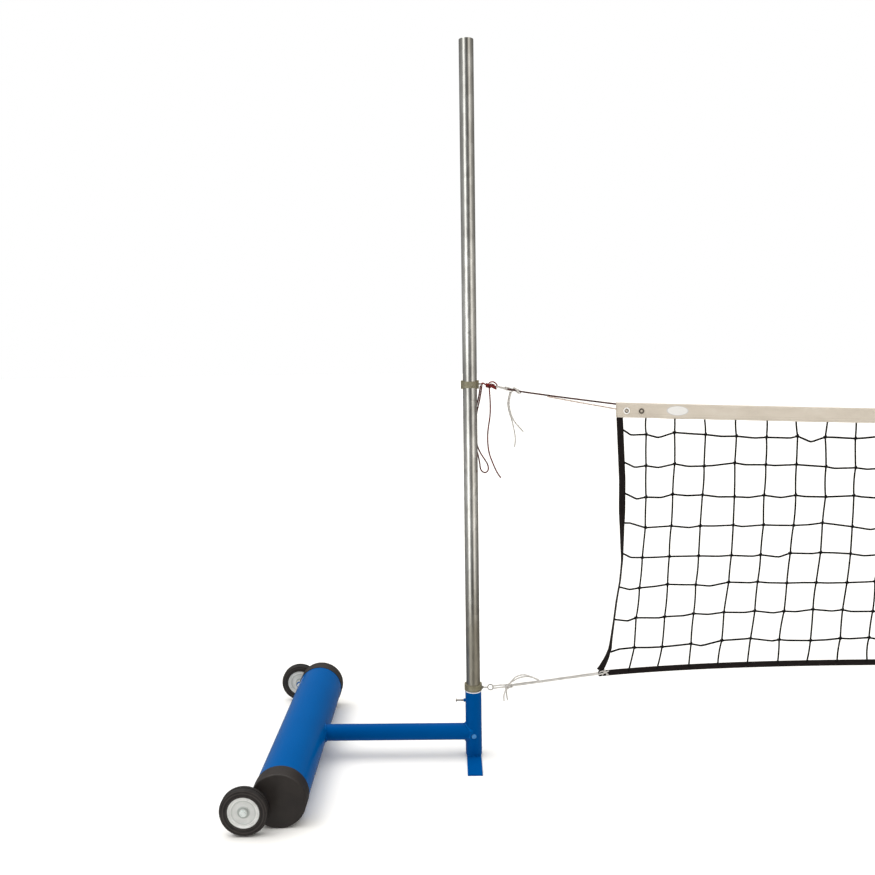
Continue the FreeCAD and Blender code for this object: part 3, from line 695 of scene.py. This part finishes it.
def red_hitch(side):
    b = Build()
    # the doubled cord from the eye into the hitch
    lay(b, side, STRAND_R, [(0.036, -0.004, 1.3165), (0.044, -0.006, 1.3205), (0.056, -0.005, 1.3145),
                            (0.070, -0.002, 1.3115), (0.090, 0.0, 1.3085)])
    lay(b, side, STRAND_R, [(0.037, 0.004, 1.3160), (0.046, 0.006, 1.3190), (0.058, 0.004, 1.3120),
                            (0.074, 0.002, 1.3085), (0.091, 0.003, 1.3060)])
    wraps(b, side, (0.0640, 0.0, 1.3110), 0.018, 0.0052, 4.2, STRAND_R, tilt=0.0015, lift=-0.004)
    wraps(b, side, (0.0800, 0.0, 1.3095), 0.012, 0.0056, 2.6, STRAND_R, tilt=-0.002, lift=-0.003)
    # the loose turn standing up over the hitch and the short end below it
    lay(b, side, STRAND_R, [(0.062, -0.005, 1.3150), (0.068, -0.006, 1.3225), (0.078, -0.005, 1.3245),
                            (0.088, -0.002, 1.3185), (0.092, 0.001, 1.3110), (0.086, 0.004, 1.3040)])
    lay(b, side, STRAND_R, [(0.066, -0.0085, 1.3110), (0.075, -0.0085, 1.3065), (0.083, -0.006, 1.3020),
                            (0.090, -0.003, 1.2995)])
    b.object("%s_red_hitch" % side, RED_BRIGHT, "red_cord", ["%s_knots" % side])


def white_hitch(side):
    b = Build()
    # second strand of the link, laid round the cable's end, and the hitch itself
    lay(b, side, LINK_R, [(0.088, -0.003, 1.3060), (0.106, -0.0035, 1.3025), (0.122, -0.0015, 1.2975),
                          (0.140, 0.001, 1.2935), (0.158, 0.002, 1.2925)])
    lay(b, side, LINK_R, [(0.118, 0.004, 1.3050), (0.130, 0.0045, 1.3035), (0.144, 0.004, 1.2990),
                          (0.156, 0.003, 1.2965)])
    wraps(b, side, (0.1620, -0.0015, 1.2930), 0.010, 0.0046, 2.7, LINK_R, tilt=0.001)
    wraps(b, side, (0.1250, -0.002, 1.3005), 0.006, 0.0054, 1.4, LOOSE_R, tilt=-0.0015)
    lay(b, side, LOOSE_R, [(0.157, -0.006, 1.2930), (0.155, -0.006, 1.3005), (0.150, -0.003, 1.3030),
                          (0.146, 0.002, 1.2995)])
    lay(b, side, LOOSE_R, [(0.158, -0.006, 1.2905), (0.163, -0.006, 1.2845), (0.169, -0.003, 1.2835),
                          (0.172, 0.001, 1.2865)])
    lay(b, side, LINK_R, [(0.150, -0.0035, 1.2945), (0.146, -0.006, 1.2925), (0.142, -0.005, 1.2905)])
    b.object("%s_white_hitch" % side, WHITE_CORD, "white_cord", ["%s_knots" % side])


def lower_hitch(side):
    b = Build()
    wraps(b, side, (0.1225, 0.0, 0.2530), 0.014, 0.0052, 3.3, STRAND_R, tilt=0.002)
    lay(b, side, STRAND_R, [(0.073, -0.003, 0.2465), (0.0685, 0.0, 0.2480), (0.0690, 0.003, 0.2510),
                            (0.074, 0.003, 0.2525)])
    lay(b, side, STRAND_R, [(0.116, -0.006, 0.2570), (0.124, -0.0085, 0.2545), (0.132, -0.007, 0.2500),
                            (0.137, -0.002, 0.2510), (0.134, 0.005, 0.2560), (0.125, 0.0085, 0.2590)])
    lay(b, side, STRAND_R, [(0.112, 0.003, 0.2490), (0.116, -0.005, 0.2455), (0.123, -0.008, 0.2475),
                            (0.128, -0.008, 0.2530), (0.124, -0.0095, 0.2585)])
    b.object("%s_lower_hitch" % side, WHITE_CORD, "white_cord", ["%s_knots" % side])


def corner_lashing(side):
    b = Build()
    for x, lean in ((0.4570, 0.004), (0.4665, -0.003)):
        pts = []
        for k in range(RING_STEPS + 1):
            a = math.tau * k / RING_STEPS
            pts.append((x + lean * math.cos(a), 0.0058 * math.sin(a), 0.2985 + 0.0095 * math.cos(a)))
        lay(b, side, LASHING_R, pts, 2)
    lay(b, side, LOOSE_R, [(0.436, 0.0, 0.2920), (0.444, -0.004, 0.2940), (0.456, -0.0075, 0.2985),
                          (0.468, -0.0070, 0.3030), (0.475, -0.0045, 0.3065)])
    lay(b, side, 0.0020, [(0.439, 0.003, 0.2930), (0.448, -0.003, 0.3025), (0.458, -0.0070, 0.3055),
                          (0.466, -0.0075, 0.2985), (0.474, -0.0060, 0.2930)])
    b.object("%s_corner_lashing" % side, WHITE_CORD, "white_cord", ["%s_knots" % side])


for side in SIDES:
    red_hitch(side)
    white_hitch(side)
    lower_hitch(side)
    corner_lashing(side)


# ---- net shape, the same sums as the CAD --------------------------------------------
HEADBAND_H = 0.0508
TAPE_W = 0.020
HEAD_Z = 1.2487                     # top of the headband at its ends
SAG = 0.100                         # how much lower it is in the middle
NET_DEPTH = 0.880                   # top of the headband to the foot of the bottom tape
CORNER_DROP, CORNER_REACH = 0.084, 0.638        # pull of the lower ties, and how fast it dies away
SPREAD, SPREAD_FROM, SPREAD_POWER = 0.055, 0.38, 1.3        # outward pull, in the lower part of the net


def head_top(x):
    k = abs(x) / HALF
    return HEAD_Z - SAG * (1 - k * k)


def net_bottom(x):
    u = max(HALF - abs(x), -0.06)
    return head_top(min(abs(x), HALF)) - NET_DEPTH - CORNER_DROP * math.exp(-u / CORNER_REACH)


def sideways(t, x):
    k = max(0.0, (t - SPREAD_FROM) / (1 - SPREAD_FROM)) ** SPREAD_POWER
    return SPREAD * k * (x / HALF) ** 2 * (1 if x > 0 else -1)


def net_point(x, t):
    """The point at height share t (0 under the headband, 1 on the bottom tape) of the column at x."""
    top = head_top(x) - HEADBAND_H
    low = net_bottom(x) + TAPE_W
    return x + sideways(t, x), top + (low - top) * t


# middle of the left side tape in mm from the left pole's axis, top to bottom corner
TAPE_LINE = [
    (508, 1198), (519, 981), (519, 807), (519.5, 701), (513, 630), (501.5, 559), (493, 488), (484, 416),
    (480, 385), (468, 350), (452, 318), (442, 304),
]
# share of the way down the tape, and how far it has turned edge-on there, in degrees
TAPE_TURN = [
    (0.0, 0), (0.35, 0), (0.42, 45), (0.48, 57), (0.53, 69), (0.58, 74), (0.62, 74), (0.80, 73), (0.88, 67),
    (0.94, 45), (1.0, 0),
]


def between(table, v):
    """Straight-line look-up in a rising table of (v, value)."""
    if v <= table[0][0]:
        return table[0][1]
    for (a, p), (b, q) in zip(table[:-1], table[1:]):
        if v <= b:
            return p + (q - p) * (v - a) / (b - a)
    return table[-1][1]


def tape_x(z):
    return between([(h / 1000, x / 1000 - POLE_X) for x, h in TAPE_LINE[::-1]], z)


def tape_centre(t):
    """Middle of the left side tape, from the headband (0) to the bottom corner (1)."""
    z = net_point(-HALF + 0.012, t)[1]
    return tape_x(z), z


def strip(name, centre, across, width, thick, material, slot, nodes):
    """A woven strip, from the points down its middle and the direction across it at each."""
    pts = [Vector(c) for c in centre]
    b = Build()
    prof = [
        (-0.5, 0.35), (-0.47, 0.5), (0.47, 0.5), (0.5, 0.35), (0.5, -0.35), (0.47, -0.5), (-0.47, -0.5),
        (-0.5, -0.35),
    ]
    n = len(prof)
    along = 0.0
    last = None
    for i, p in enumerate(pts):
        t = (pts[min(i + 1, len(pts) - 1)] - pts[max(i - 1, 0)]).normalized()
        a = Vector(across[i])
        a = (a - t * a.dot(t)).normalized()
        out = t.cross(a)
        if i:
            along += (p - pts[i - 1]).length
        for u, v in prof:
            b.v.append(p + a * (u * width) + out * (v * thick))
        if i:
            for k in range(n):
                m = (k + 1) % n
                s0 = (i - 1) * n
                b.f.append((s0 + k, s0 + m, s0 + n + m, s0 + n + k))
                u0, u1 = prof[k][0] * width, prof[m][0] * width
                b.uv.append(((u0, last), (u1, last), (u1, along), (u0, along)))
        last = along
    for base, order in ((0, -1), ((len(pts) - 1) * n, 1)):
        b.f.append(tuple([base + k for k in range(n)][::order]))
        b.uv.append(tuple((prof[k][0] * width, 0.0) for k in range(n)))
    b.object(name, material, slot, nodes, smooth=False)


# ---- side and bottom tapes -------------------------------------------------------------
SIDE_STEPS = 90
BOTTOM_STEPS = 420
SIDE_TAPE = (0.0225, 0.0019)        # width and thickness
BOTTOM_TAPE = (0.0205, 0.0021)
VIEW_ANGLE = 11                     # degrees off square at which the camera sees the side tape


def side_tape(side):
    s = -1 if side == "left" else 1
    centre = []
    across = []
    for i in range(SIDE_STEPS + 1):
        t = i / SIDE_STEPS
        x, z = tape_centre(t)
        turn = between(TAPE_TURN, t)
        turn = math.radians(turn - VIEW_ANGLE * min(1.0, turn / 40))
        y = 0.0035 * math.sin(7 * t) * math.sin(math.pi * t)
        centre.append((-s * x, y, z))
        across.append((math.cos(turn), math.sin(turn), 0.0))
    strip("%s_side_webbing" % side, centre, across, *SIDE_TAPE, WEBBING, "black_webbing",
          ["%s_side_tape" % side])


def bottom_tape():
    centre = []
    across = []
    rnd = random.Random(3)
    waves = [(rnd.uniform(0.5, 2.2), rnd.uniform(0, 6.3), rnd.uniform(0.1, 0.4)) for _ in range(5)]
    for i in range(BOTTOM_STEPS + 1):
        x = -HALF + 2 * HALF * i / BOTTOM_STEPS
        bx, bz = net_point(x, 1.0)
        lean = sum(a * math.sin(f * x + p) for f, p, a in waves) * 0.35
        lean *= min(1.0, (HALF - abs(x)) / 0.5)
        centre.append((bx, 0.004 * math.sin(1.3 * x), bz - TAPE_W / 2))
        across.append((0.0, math.sin(lean), math.cos(lean)))
    strip("bottom_webbing", centre, across, *BOTTOM_TAPE, WEBBING, "black_webbing", ["bottom_tape"])


for side in SIDES:
    side_tape(side)
bottom_tape()


# ---- mesh -------------------------------------------------------------------------------
ROWS = [0.0637 + 0.1205 * j for j in range(8)]        # height shares of the rows, as for net_point
COLS = 95
FIRST_COL = 0.1038                  # first column, from the headband's end
END_DEPTH = 0.89                    # height of the mesh at its ends
DOWN_R, ACROSS_R, KNOT_R, LOOP_R = 0.0029, 0.0035, 0.0054, 0.0026
SPAN_STEPS = 5
# heights at which the eight cross strands leave the side tapes
TAPE_Z = (1.154, 1.042, 0.9345, 0.8315, 0.724, 0.6055, 0.4895, 0.3725)
# knots of the three columns nearest each side tape, mm from the pole's axis: top end, eight knots, foot
NEAR = (
    ((597, 1193.5), (599, 1137), (600, 1029), (600, 921), (598, 815), (589.5, 709), (581, 601), (571, 494),
     (564, 389), (545, 302)),
    ((695, 1189.5), (695, 1142.5), (698, 1034), (692, 929), (688, 819), (682.5, 712), (680, 611),
     (669, 498), (661, 390), (645, 310)),
    ((796, 1185.5), (800, 1134), (796.5, 1026), (793, 926), (787.5, 818), (784, 712), (776, 609.5),
     (770, 507.5), (761, 401), (755.5, 317)),
)
# for each row, where along its first three spans the strand bends, and its drop there in mm
BENDS = (
    ((0.33, 12), (0.43, 13.6), (0.5, 0.5)),
    ((0.46, 10.8), (0.43, 9), (0.46, 5)),
    ((0.56, 12.8), (0.58, 7.5), (0.5, 4.7)),
    ((0.25, -5), (0.5, 0.5), (0.6, 5)),
    ((0.43, 9.3), (0.5, 0.5), (0.5, 0.5)),
    ((0.5, 7.8), (0.58, 1.5), (0.5, 0.5)),
    ((0.6, 8.7), (0.8, 3), (0.65, 3)),
    ((0.37, -5), (0.5, 0.5), (0.5, 0.5)),
)


def knotted_net():
    rnd = random.Random(11)
    b = Build()
    xs = [-HALF + FIRST_COL + i * (2 * HALF - 2 * FIRST_COL) / (COLS - 1) for i in range(COLS)]
    lines = []
    for i, x in enumerate(xs):
        edge = min(i, COLS - 1 - i)
        s = 1 if i < COLS / 2 else -1
        if edge < len(NEAR):
            line = [Vector((s * (p / 1000 - POLE_X), rnd.gauss(0, 0.003), z / 1000)) for p, z in NEAR[edge]]
        else:
            line = [Vector((x + rnd.gauss(0, 0.002), 0.0, head_top(x) - HEADBAND_H + 0.001))]
            for t in ROWS:
                px, pz = net_point(x, t)
                line.append(Vector((px + rnd.gauss(0, 0.0028), rnd.gauss(0, 0.0035),
                                    pz + rnd.gauss(0, 0.0032))))
            px, pz = net_point(x, 1.0)
            line.append(Vector((px + rnd.gauss(0, 0.002), 0.0, pz - 0.004)))
        line[0].y = line[-1].y = 0.0
        lines.append(line)
    for line in lines:
        path = []
        for a, c in zip(line[:-1], line[1:]):
            bow = Vector((rnd.gauss(0, 0.0010), rnd.gauss(0, 0.002), 0))
            for k in range(SPAN_STEPS):
                t = k / SPAN_STEPS
                path.append(a.lerp(c, t) + bow * (4 * t * (1 - t)))
        path.append(line[-1])
        b.tube(path, DOWN_R, 6)
    for j in range(len(ROWS)):
        z = TAPE_Z[j]
        t = (head_top(HALF) - HEADBAND_H - z) / END_DEPTH
        reach = 0.010 * math.cos(math.radians(between(TAPE_TURN, t)))
        end = tape_x(z) + reach
        row = [Vector((end, 0.0, z))] + [line[j + 1] for line in lines] + [Vector((-end, 0.0, z))]
        path = []
        for i, (a, c) in enumerate(zip(row[:-1], row[1:])):
            edge = min(i, len(row) - 2 - i)
            if edge < len(BENDS[j]):
                at, drop = BENDS[j][edge]
                at = at if i < COLS / 2 else 1 - at
                drop = drop / 1000
            else:
                at = rnd.uniform(0.25, 0.75)
                drop = abs(rnd.gauss(0.0, 0.0065)) - 0.001
            out = rnd.gauss(0, 0.003)
            for t, w in ((0.0, 0.0), (at * 0.5, 0.5), (at * 0.82, 0.84), (at, 0.95),
                         (at + (1 - at) * 0.18, 0.84), (at + (1 - at) * 0.5, 0.5)):
                path.append(a.lerp(c, t) + Vector((0, out * w, -drop * w)))
        path.append(row[-1])
        b.tube(path, ACROSS_R, 6)
    for line in lines:
        for p in line[1:-1]:
            b.ball(p, KNOT_R, (1.05, 0.8, 0.95))
            b.tube([p + Vector((-0.0058, 0.0018, 0.0020)), p + Vector((0, -0.0042, 0.0)),
                    p + Vector((0.0058, 0.0014, -0.0020))], LOOP_R, 6)
            b.tube([p + Vector((-0.0022, -0.001, -0.0064)), p + Vector((0.001, -0.0040, 0.0)),
                    p + Vector((0.0022, -0.001, 0.0064))], LOOP_R, 6)
    b.object("net_twine", TWINE, "black_twine", ["mesh"])


knotted_net()


# ---- headband -----------------------------------------------------------------------------
BAND_STEPS = 700
WASHER_STEPS = 24


def headband():
    """Vinyl folded over the head cable: fatter at the top, two flat layers below."""
    # down from the top edge, and out on one face
    prof = [
        (0.0000, -0.0004), (0.0004, -0.0022), (0.0030, -0.0036), (0.0065, -0.0036), (0.0100, -0.0022),
        (0.0140, -0.0014), (0.0240, -0.0013), (0.0360, -0.0013), (0.0440, -0.0013), (0.0500, -0.0012),
        (0.0508, -0.0006),
    ]
    ring = prof + [(d, -y) for d, y in prof[::-1]]
    rnd = random.Random(5)
    puck = [(rnd.uniform(9, 42), rnd.uniform(0, 6.3), rnd.uniform(0.0002, 0.0007)) for _ in range(9)]
    b = Build()
    n = len(ring)
    for i in range(BAND_STEPS + 1):
        x = -HALF + 2 * HALF * i / BAND_STEPS
        top = head_top(x)
        wave = sum(a * math.sin(f * x + p) for f, p, a in puck)
        roll = 0.0012 * math.sin(2.1 * x) + 0.0008 * math.sin(5.3 * x + 1)
        for d, y in ring:
            k = d / HEADBAND_H
            # the band hangs a little fuller under its patch
            full = 0.0022 * math.exp(-((abs(x) - PATCH_X) / 0.045) ** 2) * max(0.0, k - 0.6) / 0.4
            b.v.append(Vector((x, y + (roll + wave) * k, top - d + wave * 0.3 * k - full)))
        if i:
            for k in range(n):
                m = (k + 1) % n
                s0 = (i - 1) * n
                b.f.append((s0 + k, s0 + n + k, s0 + n + m, s0 + m))
                u0, u1 = x - 2 * HALF / BAND_STEPS, x
                b.uv.append(((u0, ring[k][0]), (u1, ring[k][0]), (u1, ring[m][0]), (u0, ring[m][0])))
    for base, order in ((0, 1), (BAND_STEPS * n, -1)):
        b.f.append(tuple([base + k for k in range(n)][::order]))
        b.uv.append(tuple((0.0, ring[k][0]) for k in range(n)))
    o = b.object("headband_vinyl_strip", VINYL, "white_vinyl", ["headband"])


def washers():
    """Pale washers stitched round the outer eyelets."""
    b = Build()
    for s in (-1, 1):
        x = s * (HALF - 0.036)
        z = head_top(x) - HEADBAND_H * 0.55
        for y in (-0.0030, 0.0030):
            path = []
            for k in range(WASHER_STEPS + 1):
                a = math.tau * k / WASHER_STEPS
                path.append((x + 0.0092 * math.sin(a), y, z + 0.0092 * math.cos(a)))
            b.tube(path, 0.0021, 6)
    b.object("eyelet_washers", WASHER, "white_vinyl", ["headband"])


headband()
washers()


# ---- parts shown as the CAD made them --------------------------------------------------------
def dress(name, material):
    """Gives a CAD node its material."""
    o = frame["nodes"][name]
    o.data.materials.clear()
    o.data.materials.append(material)


for side in SIDES:
    for n in ("base_tube", "wheel_brackets"):
        dress("%s_%s" % (side, n), PAINT)
    # the arm, foot plate and socket take the enamel with painted shade
    for n in ("arm", "foot_plate"):
        dress("%s_%s" % (side, n), SHADED_FRAME_PAINT)
    dress("%s_socket" % side, SHADED_SOCKET_PAINT)
    dress("%s_weld_beads" % side, WELD)
    dress("%s_end_caps" % side, CAP)
    for n in ("front", "rear"):
        dress("%s_%s_tyre" % (side, n), RUBBER)
        dress("%s_%s_hub" % (side, n), HUB)
    dress("%s_pole" % side, GALVANISED)
    dress("%s_upper_collar" % side, CAST)
    dress("%s_lower_collar" % side, CAST)
    for n in ("screw_shank", "screw_head", "upper_eye", "lower_eye"):
        dress("%s_%s" % (side, n), DARK_ZINC)
dress("bracket_bolts", HARDWARE)
dress("axle_bolts", AXLE)
dress("stop_bolts", HIGHLIT_BOLT_PAINT)
dress("weld_nuts", SHADED_FRAME_PAINT)
dress("grommets", EYELET)


# ---- floor and light ---------------------------------------------------------------------
def stage():
    """A wide pale floor that isn't mirrored in the metal."""
    mesh = bpy.data.meshes.new("floor")
    s = 40
    mesh.from_pydata([(-s, -s, 0), (s, -s, 0), (s, s, 0), (-s, s, 0)], [], [(0, 1, 2, 3)])
    o = bpy.data.objects.new("floor", mesh)
    bpy.context.scene.collection.objects.link(o)
    m = Mat("floor_white", rough=0.9, spec=0.0)
    m.b.inputs["Base Color"].default_value = (0.93, 0.915, 0.885, 1)
    mesh.materials.append(m.m)
    o.visible_glossy = False


def sun(energy, spread, place):
    """A soft sun shining from place towards the origin."""
    d = bpy.data.lights.new("key", "SUN")
    d.energy = energy
    d.angle = spread
    o = bpy.data.objects.new("key", d)
    o.rotation_euler = (-Vector(place)).to_track_quat("-Z", "Y").to_euler()
    bpy.context.scene.collection.objects.link(o)


# degrees round from the camera's side (+ to the right) to the studio's grey level there
SURROUND = [
    (-180, 0.20), (-140, 0.24), (-115, 0.30), (-80, 0.34), (-62, 0.50), (-50, 1.45), (-32, 1.60),
    (-24, 0.60), (-10, 0.26), (2, 0.16), (14, 0.18), (24, 0.36), (38, 0.90), (48, 1.20), (56, 0.70),
    (66, 0.50), (88, 0.32), (112, 0.22), (150, 0.18), (180, 0.20),
]
OVERHEAD = 1.85
OVERHEAD_FROM, OVERHEAD_FULL = 0.50, 0.9        # sine of the height at which it starts and is full


def world():
    """Plain studio: grey walls with two bright windows, a bright ceiling, white behind the object."""
    w = bpy.data.worlds.new("studio")
    bpy.context.scene.world = w
    w.use_nodes = True
    t = w.node_tree

    def node(kind, **values):
        n = t.nodes.new(kind)
        for k, v in values.items():
            if k in n.inputs:
                n.inputs[k].default_value = v
            else:
                setattr(n, k, v)
        return n

    sep = node("ShaderNodeSeparateXYZ")
    t.links.new(node("ShaderNodeTexCoord").outputs["Generated"], sep.inputs[0])
    back = node("ShaderNodeMath", operation="MULTIPLY")
    back.inputs[1].default_value = -1
    t.links.new(sep.outputs[1], back.inputs[0])
    angle = node("ShaderNodeMath", operation="ARCTAN2")
    t.links.new(sep.outputs[0], angle.inputs[0])
    t.links.new(back.outputs[0], angle.inputs[1])
    turn = node("ShaderNodeMapRange")
    turn.inputs["From Min"].default_value = -math.pi
    turn.inputs["From Max"].default_value = math.pi
    t.links.new(angle.outputs[0], turn.inputs["Value"])
    ramp = node("ShaderNodeValToRGB")
    e = ramp.color_ramp.elements
    while len(e) < len(SURROUND):
        e.new(0.5)
    for i, (deg, v) in enumerate(SURROUND):
        e[i].position = (deg + 180) / 360
        e[i].color = (v, v * 0.965, v * 0.91, 1) if deg > 10 else (v, v, v * 0.985, 1)
    t.links.new(turn.outputs["Result"], ramp.inputs["Fac"])
    # overhead it is bright whichever way one faces
    up = node("ShaderNodeMapRange")
    up.inputs["From Min"].default_value = OVERHEAD_FROM
    up.inputs["From Max"].default_value = OVERHEAD_FULL
    t.links.new(sep.outputs[2], up.inputs["Value"])
    sky = node("ShaderNodeMix", data_type="RGBA")
    sky.inputs[7].default_value = (OVERHEAD, OVERHEAD, OVERHEAD, 1)
    t.links.new(up.outputs["Result"], sky.inputs[0])
    t.links.new(ramp.outputs["Color"], sky.inputs[6])
    seen = node("ShaderNodeMix", data_type="RGBA")
    seen.inputs[7].default_value = (1.0, 1.0, 1.0, 1)
    t.links.new(node("ShaderNodeLightPath").outputs["Is Camera Ray"], seen.inputs[0])
    t.links.new(sky.outputs[2], seen.inputs[6])
    t.links.new(seen.outputs[2], t.nodes["Background"].inputs["Color"])


stage()
world()
sun(0.95, math.radians(40), (-4.6, 0.4, 8))
bpy.context.scene.view_settings.view_transform = "Standard"
